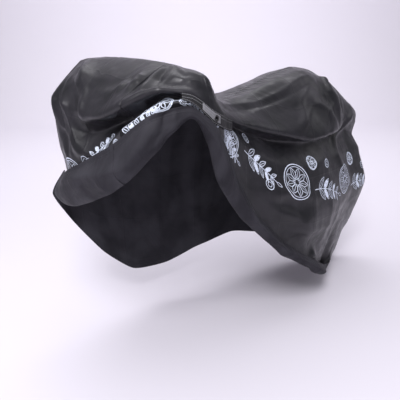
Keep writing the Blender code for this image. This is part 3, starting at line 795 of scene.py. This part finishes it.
ink_material, ink_tree, ink_shader = new_material("print_ink")
ink_u, ink_v, ink_places = uv_parts(ink_tree, "cloth")
ink_wear = mottle(ink_tree, ink_places, WEAR_SCALE, detail=4.0, roughness=0.6)
ink_share = ease(ink_tree, ink_wear, *WEAR_RANGE, 0.0, 1.0)
ink_colour = blended(ink_tree, ink_share, INK_COLOUR, INK_WORN)
ink_rough = ease(ink_tree, ink_wear, *NOISE_RANGE, *INK_ROUGH)
ink_heights = [fine_waves(ink_tree, way, WEAVE, 2 * WEAVE_HIGH) for way in (ink_u, ink_v)]
finish(ink_tree, ink_shader, ink_colour, ink_rough, ink_heights)

near_print = printed("near_print", NEAR_MOTIFS, near_points, ink_material)
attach(near_print, "root")

# ---------------------------------------------------------------------------------------------
# The far side panel: the same coated taffeta, cut in one piece and sewn to the near panel over the
# top. It wraps round the front, where it carries the rest of the fold and of the cuff, and falls
# straight to its hem on the far side.
FAR_SEED = 5.0
FRONT_TAUT = ((0.9, 2.3), (0.5, 2.3))  # the ribs and the levels between which it has no creases
JOIN_FACETS = 7  # beside the front seam, where it comes over from the near panel
FAR_RIBS = (
    FRONT_SEAM,
    Rib(8, (-20, -60, 1100), 0, (80, 1050), (165, 945), (85, 918), (140, 862),
        (130, 775), (162, 700), (192, 736), (195, 835)),
    Rib(20, (-20, 60, 1100), 0, (90, 1045), (160, 930), (112, 872), (140, 808),
        (128, 715), (150, 640), (202, 706), (197, 777)),
    Rib(35, (-30, 170, 1096), 0, (82, 1045), (130, 958), (124, 875), (140, 790),
        (118, 690), (130, 600), (180, 668), (168, 730)),
    Rib(50, (-30, 270, 1090), 10, (66, 1040), (130, 968), (122, 880), (120, 790),
        (102, 685), (112, 565), (158, 625), (118, 702)),
    Rib(58, (-28, 292, 1088), 25, (56, 1042), (112, 970), (108, 880), (104, 788),
        (90, 682), (104, 575), (132, 584), (152, 604)),
    Rib(65, (-20, 310, 1085), 45, (42, 1042), (88, 972), (92, 880), (90, 785),
        (80, 685), (92, 590), (98, 520), (86, 455)),
    Rib(85, (20, 330, 1074), 85, (26, 1005), (42, 915), (44, 812), (36, 705),
        (26, 605), (16, 505), (6, 405), (-4, 305)),
    Rib(180, (150, 200, 1034), 90, (88, 978), (124, 884), (130, 770), (125, 660),
        (120, 540), (112, 420), (110, 300), (108, 190)),
    Rib(330, (330, 60, 950), 90, (80, 912), (150, 840), (190, 740), (212, 630),
        (222, 510), (232, 390), (236, 270), (240, 160)),
    Rib(520, (520, 60, 965), 90, (80, 912), (140, 830), (170, 730), (190, 620),
        (200, 510), (200, 400), (195, 300), (190, 210)),
    Rib(720, (720, 70, 1005), 90, (80, 930), (130, 840), (150, 740), (170, 630),
        (188, 520), (190, 410), (180, 310), (170, 220)),
    Rib(900, (900, 60, 1015), 90, (80, 930), (125, 830), (145, 720), (165, 610),
        (178, 500), (170, 390), (150, 280), (130, 180)),
    Rib(1080, (1075, 50, 955), 90, (60, 890), (95, 800), (125, 700), (142, 600),
        (150, 490), (138, 370), (110, 260), (90, 160)),
    Rib(1210, (1215, 40, 868), 125, (50, 830), (80, 760), (90, 680), (110, 590),
        (140, 480), (100, 340), (60, 230), (40, 150)),
    TAIL_SEAM,
)

FAR_FOLDS = (
    Fold(8, 20, ((3.5, 1.1), (3.0, 1.6), (2.5, 2.2), (1.9, 2.8))),  # where front turns to side
    Fold(-7, 18, ((3.7, 2.0), (3.5, 3.0), (3.4, 4.2), (3.2, 5.2))),
    Fold(6, 16, ((3.9, 2.4), (3.8, 3.4), (3.7, 4.4))),
    Fold(6, 22, ((1.8, 2.4), (1.0, 2.4), (0.3, 2.2))),  # a soft crease in front of the bar
    Fold(7, 18, ((0.3, 2.6), (0.2, 1.5))),  # pulled beside the front seam
    Fold(-7, 24, ((6.1, 3.2), (6.3, 5.0), (6.5, 7.6))),  # hanging folds of the far side
    Fold(10, 32, ((7.4, 2.2), (7.6, 4.6), (7.9, 8.2))),
    Fold(-9, 34, ((8.4, 2.4), (8.6, 5.0), (8.7, 8.6))),
    Fold(10, 34, ((9.4, 3.0), (9.5, 6.0), (9.7, 8.8))),
    Fold(-9, 38, ((10.6, 2.6), (10.4, 5.6), (10.2, 8.6))),
    Fold(9, 34, ((11.8, 2.2), (11.7, 5.0), (11.9, 8.6))),
    Fold(8, 26, ((13.3, 1.6), (13.5, 3.6), (13.4, 6.4))),
)

FAR_CREASES = (
    Fold(13, 18, ((4.0, 1.0), (3.2, 1.5), (2.6, 2.0), (2.1, 2.5), (1.9, 3.0))),  # the front's corner
    Fold(8, 10, ((3.3, 2.1), (2.9, 2.25), (2.5, 2.35))),  # narrow creases beside it
    Fold(9, 11, ((3.8, 2.45), (3.1, 3.5), (2.65, 4.5))),
    Fold(-9, 10, ((2.45, 2.65), (2.3, 3.5), (2.45, 4.15))),
    Fold(8, 10, ((3.7, 3.4), (3.55, 4.0), (2.8, 4.6), (2.3, 5.1))),
    Fold(5, 10, ((3.6, 2.2), (3.25, 3.0), (3.1, 3.2))),
    Fold(5, 14, ((4.5, 2.5), (4.45, 3.0), (4.5, 3.5))),
    Fold(7, 11, ((-0.1, 1.85), (0.3, 1.95))),  # puckers across the front seam
    Fold(7, 11, ((-0.1, 2.15), (0.35, 2.22))),
    Fold(7, 12, ((-0.1, 2.45), (0.3, 2.42))),
    Fold(9, 12, ((0.3, 2.9), (0.1, 2.92), (-0.2, 2.9))),
    Fold(-20, 24, ((-0.9, 8.2), (0.0, 8.3), (1.4, 8.4), (2.5, 8.5), (3.6, 8.5))),  # along the cuff
    Fold(7, 9, ((-0.5, 8.8), (0.8, 8.8), (1.8, 8.8), (2.8, 8.78))),  # its hem
    Fold(8, 22, ((3.6, 1.6), (3.6, 2.4), (3.4, 3.1), (3.4, 3.9), (2.9, 4.4), (2.3, 5.0))),
    Fold(-7, 22, ((3.3, 1.9), (2.9, 2.6), (2.5, 3.0), (2.6, 4.1))),  # shining creases of the front
    Fold(7, 20, ((3.1, 1.8), (2.6, 2.4), (2.1, 2.8), (2.4, 3.9))),
    Fold(5.5, 20, ((3.8, 1.4), (3.9, 2.6), (3.8, 3.6), (3.7, 4.6))),
    Fold(-7, 20, ((4.2, 1.6), (4.1, 2.8), (4.0, 3.8))),
    Fold(7, 22, ((3.2, 3.4), (2.9, 4.2), (2.4, 4.7), (1.9, 5.2))),
    Fold(-5.5, 20, ((3.3, 4.0), (3.0, 4.7), (2.6, 5.3))),
    Fold(5.5, 20, ((3.6, 4.6), (3.3, 5.3), (3.2, 5.9))),
    Fold(4, 22, ((1.7, 2.4), (1.0, 2.4), (0.4, 2.2))),
    Fold(4, 20, ((1.9, 2.75), (1.3, 2.6), (0.9, 2.45))),
    Fold(7, 18, ((0.05, 2.6), (0.2, 2.1), (0.4, 1.6))),  # puckers beside the front seam
    Fold(-5.5, 18, ((0.3, 2.7), (0.4, 2.2), (0.7, 1.8))),
    Fold(5.5, 18, ((0.5, 2.75), (0.6, 2.4), (0.95, 2.0))),
    Fold(5.5, 18, ((0.4, 2.95), (1.0, 2.95), (1.7, 2.93))),
    Fold(-5.5, 22, ((0.4, 4.6), (1.2, 4.8), (2.0, 5.2))),
    Fold(5.5, 22, ((0.3, 5.0), (1.1, 5.3), (1.8, 5.8))),
    Fold(-5.5, 22, ((0.6, 7.3), (0.8, 8.0), (0.9, 8.8))),  # across the cuff
    Fold(4, 20, ((1.5, 7.2), (1.6, 8.0), (1.5, 8.8))),
    Fold(7, 30, ((5.6, 3.0), (5.8, 5.0), (5.9, 7.0), (6.0, 8.6))),  # hanging folds of the far side
    Fold(-7, 30, ((6.6, 2.4), (6.7, 4.6), (6.8, 6.8))),
    Fold(7, 30, ((7.2, 2.0), (7.3, 4.2), (7.3, 6.6), (7.4, 8.6))),
    Fold(5.5, 30, ((8.1, 3.6), (8.2, 5.6), (8.2, 8.2))),
    Fold(-5.5, 30, ((9.0, 2.4), (9.1, 4.6), (9.0, 7.2))),
    Fold(7, 30, ((10.0, 2.2), (10.1, 4.6), (10.0, 7.6))),
    Fold(-5.5, 30, ((11.2, 3.0), (11.1, 5.4), (11.2, 8.2))),
    Fold(7, 30, ((12.5, 1.8), (12.5, 4.0), (12.7, 7.0))),
    Fold(5.5, 22, ((8.4, 1.4), (9.2, 1.6), (9.8, 1.4))),
    Fold(-5.5, 22, ((6.2, 1.5), (6.9, 1.8), (7.4, 1.6))),
)

far_soft = folded(panel_points(FAR_RIBS), FAR_FOLDS)
far_points = folded(far_soft, FAR_CREASES, CRISP)
far_points = crumpled(far_points, print_places(far_points), FAR_SEED)
far_points = pressed_flat(far_points, far_soft, *FRONT_TAUT)
far_points = lapped_at_seam(far_points, 1)
to_near = near_points[0] - (0, 2 * SEAM_LAP, 0) - far_points[0]
for column in range(JOIN_FACETS):
    far_points[column, 1:] += to_near[1:] * (1 - column / JOIN_FACETS)
far_piece = cloth_object(
    "far_cloth", far_points, panel_maps(far_points), panel_cloth("far"), CLOTH_THICK
)
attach(far_piece, "root")
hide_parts("far_side_panel")

# ---------------------------------------------------------------------------------------------
# The print on the far side panel: the same kind of band of ring flowers and leaf sprays, screen
# printed in the same pale ink.
FAR_MOTIFS = (
    ("flower", 0.395, 0.115, 0, 0.060), ("bud", 0.29, 0.060, 0, 0.020),
    ("spray", 0.10, 0.020, 5, 0.16), ("flower", 0.05, 0.075, 0, 0.034),
    ("spray", 0.47, 0.080, 8, 0.18), ("flower", 0.74, 0.110, 0, 0.068),
    ("bud", 0.84, 0.040, 0, 0.020), ("spray", 0.85, 0.120, 4, 0.21),
    ("flower", 1.13, 0.130, 0, 0.034), ("flower", 1.23, 0.090, 0, 0.072),
    ("spray", 1.33, 0.130, 10, 0.20), ("bud", 1.44, 0.040, 0, 0.020),
    ("flower", 1.62, 0.120, 0, 0.064), ("spray", 1.71, 0.100, -6, 0.20),
    ("flower", 1.98, 0.110, 0, 0.070), ("bud", 2.08, 0.040, 0, 0.018),
)

far_print = printed("far_print", FAR_MOTIFS, far_points, ink_material)
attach(far_print, "root")

# ---------------------------------------------------------------------------------------------
# The eyelet strip: a doubled strip of the same cloth, sewn along the fold with two light rows of
# stitches, and pierced near its rear end for the ring, where a paler square patch backs it.
STRIP_WIDE, STRIP_NARROW = 38 * MM, 0.5  # its width, and the share of it at the front end
STRIP_TAPER = 24  # facets over which it widens
STRIP_THICK = 1.7 * MM
STRIP_CLEAR = 2.15 * MM  # from the middle of the cloth behind it to its own middle
STRIP_FACETS = 14  # across
EYELET_PLACE = Vector((0.0313, -0.3347, -0.1236))
EYELET_AXIS = Vector((0.093, -0.996, 0))
EYELET_MATRIX = (
    Matrix.Translation(EYELET_PLACE) @ EYELET_AXIS.to_track_quat("Z", "Y").to_matrix().to_4x4()
)
EYELET_BOW = 27  # facets on each side over which the strip stands out further, to clear the ring
HOLE_RADIUS, HOLE_FACETS, CUTTER_LONG = 7.6 * MM, 40, 30 * MM
STRIP_DARK, STRIP_LIGHT = (0.016, 0.016, 0.017), (0.028, 0.028, 0.030)
STRIP_ROUGH, STRIP_SHINE = 0.5, 0.25
STRIP_THREAD = (0.34, 0.34, 0.36)
STRIP_PUCKER = 0.1 * MM
STRIP_EDGES = (
    ("seam", 0.5 * MM, (2.5 * MM, 11 * MM), STRIP_PUCKER),
    ("hem", 1.0 * MM, (3.0 * MM,), STRIP_PUCKER),
)
PATCH_FACETS = (14, 5)  # from the eyelet forwards and backwards
PATCH_ROWS = (2, 12)  # of the strip's facets, from its top
PATCH_STAND, PATCH_THICK = 1.2 * MM, 0.5 * MM  # how far its middle is from the strip's middle
PATCH_DARK, PATCH_LIGHT, PATCH_SHINE = (0.17, 0.17, 0.18), (0.26, 0.26, 0.28), 0.3


def strip_points():
    """The strip's points, its ways outwards, and the eyelet's column.

    It hangs from the lip of the fold, clear of the cloth that it covers.
    """
    first, last = (round(rib * STEPS_ALONG) for rib in STRIP_RIBS)
    lip, belly = (int(place_in_grid(0, level)[1]) for level in (3, 6))
    soft = near_soft[first : last + 1]
    run = unit(np.gradient(soft[:, lip], axis=0) * (1, 1, 0))
    out = np.cross(run, (0, 0, 1))
    widths = STRIP_WIDE * np.interp(range(len(soft)), (0, STRIP_TAPER), (STRIP_NARROW, 1))
    stands = []
    for column, way in zip(soft, out):
        covered = column[lip:belly]
        covered = covered[covered[:, 2] > column[lip, 2] - STRIP_WIDE - STRIP_CLEAR]
        stands.append(((covered - column[lip]) @ way).max() + STRIP_CLEAR)
    nearest = np.argmin(((soft[:, lip] - EYELET_PLACE)[:, :2] ** 2).sum(axis=1))
    reach = (np.array(EYELET_PLACE) - soft[nearest, lip]) @ out[nearest]
    bow = np.clip(2 - 2 * np.abs(np.arange(len(soft)) - nearest) / EYELET_BOW, 0, 1)
    stands = np.array(stands) + (reach - stands[nearest]) * bow
    points = []
    for top, way, wide, stand in zip(soft[:, lip], out, widths, stands):
        drops = np.linspace(0, wide, STRIP_FACETS + 1)
        points.append([top + way * stand - (0, 0, drop) for drop in drops])
    return np.array(points), out, nearest


def strip_maps(points):
    """UV maps in metres: from the top edge, and from the lower one."""
    along, down = measured(points, 0)
    top = np.stack([along, down], -1)
    return {"cloth": top, "seam": top, "hem": np.stack([along, down[:, -1:] - down], -1)}


def with_hole(piece):
    """Cuts the eyelet's hole through the piece."""
    shape = bmesh.new()
    radii = {"radius1": HOLE_RADIUS, "radius2": HOLE_RADIUS}
    bmesh.ops.create_cone(shape, cap_ends=True, segments=HOLE_FACETS, depth=CUTTER_LONG, **radii)
    mesh = bpy.data.meshes.new("hole")
    shape.to_mesh(mesh)
    shape.free()
    cutter = new_object("hole", mesh)
    cutter.matrix_world = EYELET_MATRIX
    cut = piece.modifiers.new("Hole", "BOOLEAN")
    cut.object = cutter
    bpy.context.view_layer.update()
    graph = bpy.context.evaluated_depsgraph_get()
    made = bpy.data.meshes.new_from_object(piece.evaluated_get(graph))
    piece.modifiers.clear()
    piece.data = made
    bpy.data.objects.remove(cutter)
    return piece


strip_cloth = taffeta(
    "strip_taffeta", STRIP_DARK, STRIP_LIGHT, STRIP_ROUGH, STRIP_SHINE, STRIP_EDGES, STRIP_THREAD
)
strip_grid, strip_out, eyelet_column = strip_points()
strip_piece = with_hole(
    cloth_object("strip", strip_grid, strip_maps(strip_grid), (strip_cloth,), STRIP_THICK)
)
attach(strip_piece, "root")
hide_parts("eyelet_strip")

patch_cloth = taffeta(
    "patch_cloth", PATCH_DARK, PATCH_LIGHT, STRIP_ROUGH, PATCH_SHINE, STRIP_EDGES, STRIP_THREAD
)
patch_columns = slice(eyelet_column - PATCH_FACETS[0], eyelet_column + PATCH_FACETS[1] + 1)
patch_grid = strip_grid[patch_columns, slice(*PATCH_ROWS)]
patch_grid = patch_grid + strip_out[patch_columns, None] * PATCH_STAND
patch_piece = with_hole(
    cloth_object("eyelet_patch", patch_grid, strip_maps(patch_grid), (patch_cloth,), PATCH_THICK)
)
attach(patch_piece, "root")

# ---------------------------------------------------------------------------------------------
# The eyelet's ring: blackened brass, turned from sheet. It is pushed through the strip's hole and
# rolled over both of its faces.
RING_STEPS = 64
RING_PROFILE = (  # (radius, height) in millimetres, from the middle of the bore round to its back
    (5.6, 0), (5.6, 1.2), (5.8, 1.8), (6.4, 2.22), (7.4, 2.4), (8.8, 2.32), (9.8, 2.08),
    (10.4, 1.82), (10.5, 1.68), (10.3, 1.62), (7.0, 1.62), (7.0, 0),
)
BRASS_BLACK, BRASS_BARE = (0.055, 0.055, 0.060), (0.20, 0.19, 0.18)
BRASS_SCALE, BRASS_RANGE = 700.0, (0.45, 0.75)  # the specks where the black has worn off
BRASS_ROUGH, BRASS_METAL, BRASS_PITS = (0.26, 0.46), 0.9, 0.05 * MM

ring_profile = list(RING_PROFILE) + [(radius, -high) for radius, high in RING_PROFILE[-2:0:-1]]
ring_verts = []
for step in range(RING_STEPS):
    turn = math.tau * step / RING_STEPS
    for radius, high in ring_profile:
        ring_verts.append((radius * MM * math.cos(turn), radius * MM * math.sin(turn), high * MM))
around = len(ring_profile)
ring_faces = []
for step in range(RING_STEPS):
    for point in range(around):
        here, there = step * around, (step + 1) % RING_STEPS * around
        following = (point + 1) % around
        ring_faces.append((here + point, there + point, there + following, here + following))
ring_mesh = bpy.data.meshes.new("ring")
ring_mesh.from_pydata(ring_verts, [], ring_faces)
ring_mesh.shade_smooth()

brass, brass_tree, brass_shader = new_material("blackened_brass")
brass_places = brass_tree.nodes.new("ShaderNodeTexCoord").outputs["Object"]
brass_wear = mottle(brass_tree, brass_places, BRASS_SCALE, detail=5.0, roughness=0.65)
brass_share = ease(brass_tree, brass_wear, *BRASS_RANGE, 0.0, 1.0)
brass_colour = blended(brass_tree, brass_share, BRASS_BLACK, BRASS_BARE)
brass_rough = ease(brass_tree, brass_wear, *NOISE_RANGE, *BRASS_ROUGH)
brass_pits = calc(brass_tree, "MULTIPLY", brass_wear, BRASS_PITS)
finish(brass_tree, brass_shader, brass_colour, brass_rough, [brass_pits])
brass_shader.inputs["Metallic"].default_value = BRASS_METAL
ring_mesh.materials.append(brass)
ring = new_object("ring", ring_mesh)
ring.matrix_world = EYELET_MATRIX
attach(ring, "root")
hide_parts("eyelet_ring")

# ---------------------------------------------------------------------------------------------
# The studio: pale paper, hung behind the cover from a roll and run out under it as the floor, and
# soft box lights on stands.
FLOOR = -REST_HEIGHT * MM
PAPER_WIDE = 16.0
PAPER_NEAR, PAPER_FAR = -4.0, 4.2  # its ends, from the middle of the cover, away from the camera
PAPER_HIGH = 5.0
PAPER_BEND, BEND_FACETS = 1.6, 12  # the radius where it turns up
PAPER_COLOUR, PAPER_ROUGH = (0.73, 0.70, 0.76, 1), 0.95
MIDDLE = Vector((0.6, 0, 0))  # of the cover
ROOM_COLOUR, ROOM_LIGHT = (0.93, 0.92, 1.0, 1), 0.30
LIGHT_COLOUR = (0.97, 0.96, 1.0)
LIGHTS = (  # name, place, what it is aimed at, width and height in metres, watts
    ("overhead", (0.6, 0.4, 2.6), (0.6, 0.2, -1.0), (4.0, 4.0), 46),
    ("key", (-1.7, -1.7, 2.1), (0.3, 0, -0.3), (1.2, 1.2), 125),
    ("paper_light", (2.2, 2.2, 3.4), (3.6, 4.0, 0.2), (5.0, 1.5), 185),
    ("front", (-2.4, -2.6, 1.0), (0.4, 0, -0.3), (2.4, 2.0), 12),
    ("front_left", (-2.6, 0.5, 1.3), (-0.1, 0, -0.1), (1.3, 1.3), 30),
    ("rear", (3.4, -1.3, 1.3), (1.0, 0, -0.2), (2.2, 1.6), 8),
)

paper_material, _, paper = new_material("studio_paper")
paper.inputs["Base Color"].default_value = PAPER_COLOUR
paper.inputs["Roughness"].default_value = PAPER_ROUGH
paper.inputs["Specular IOR Level"].default_value = 0.0

profile = [(PAPER_NEAR, 0.0)]
for turn in np.linspace(0, math.pi / 2, BEND_FACETS + 1):
    profile.append((PAPER_FAR + PAPER_BEND * math.sin(turn), PAPER_BEND * (1 - math.cos(turn))))
profile.append((PAPER_FAR + PAPER_BEND, PAPER_HIGH))
paper_verts = [(side * PAPER_WIDE / 2, away, up) for away, up in profile for side in (-1, 1)]
paper_faces = [(2 * i, 2 * i + 1, 2 * i + 3, 2 * i + 2) for i in range(len(profile) - 1)]
paper_mesh = bpy.data.meshes.new("backdrop")
paper_mesh.from_pydata(paper_verts, [], paper_faces)
paper_mesh.shade_smooth()
paper_mesh.materials.append(paper_material)
backdrop = new_object("backdrop", paper_mesh)
backdrop.location = (MIDDLE.x, MIDDLE.y, FLOOR)
backdrop.rotation_euler = (0, 0, CAMERA_TURN)

world = bpy.data.worlds.new("studio")
bpy.context.scene.world = world
world.use_nodes = True
room = world.node_tree.nodes["Background"]
room.inputs["Color"].default_value = ROOM_COLOUR
room.inputs["Strength"].default_value = ROOM_LIGHT

for name, place, aim, light_size, watts in LIGHTS:
    light_data = bpy.data.lights.new(name, "AREA")
    light_data.shape = "RECTANGLE"
    light_data.size, light_data.size_y = light_size
    light_data.energy = watts
    light_data.color = LIGHT_COLOUR
    light = new_object(name, light_data)
    light.location = place
    light.rotation_euler = (Vector(aim) - Vector(place)).to_track_quat("-Z", "Y").to_euler()

bpy.context.scene.view_settings.view_transform = "Standard"
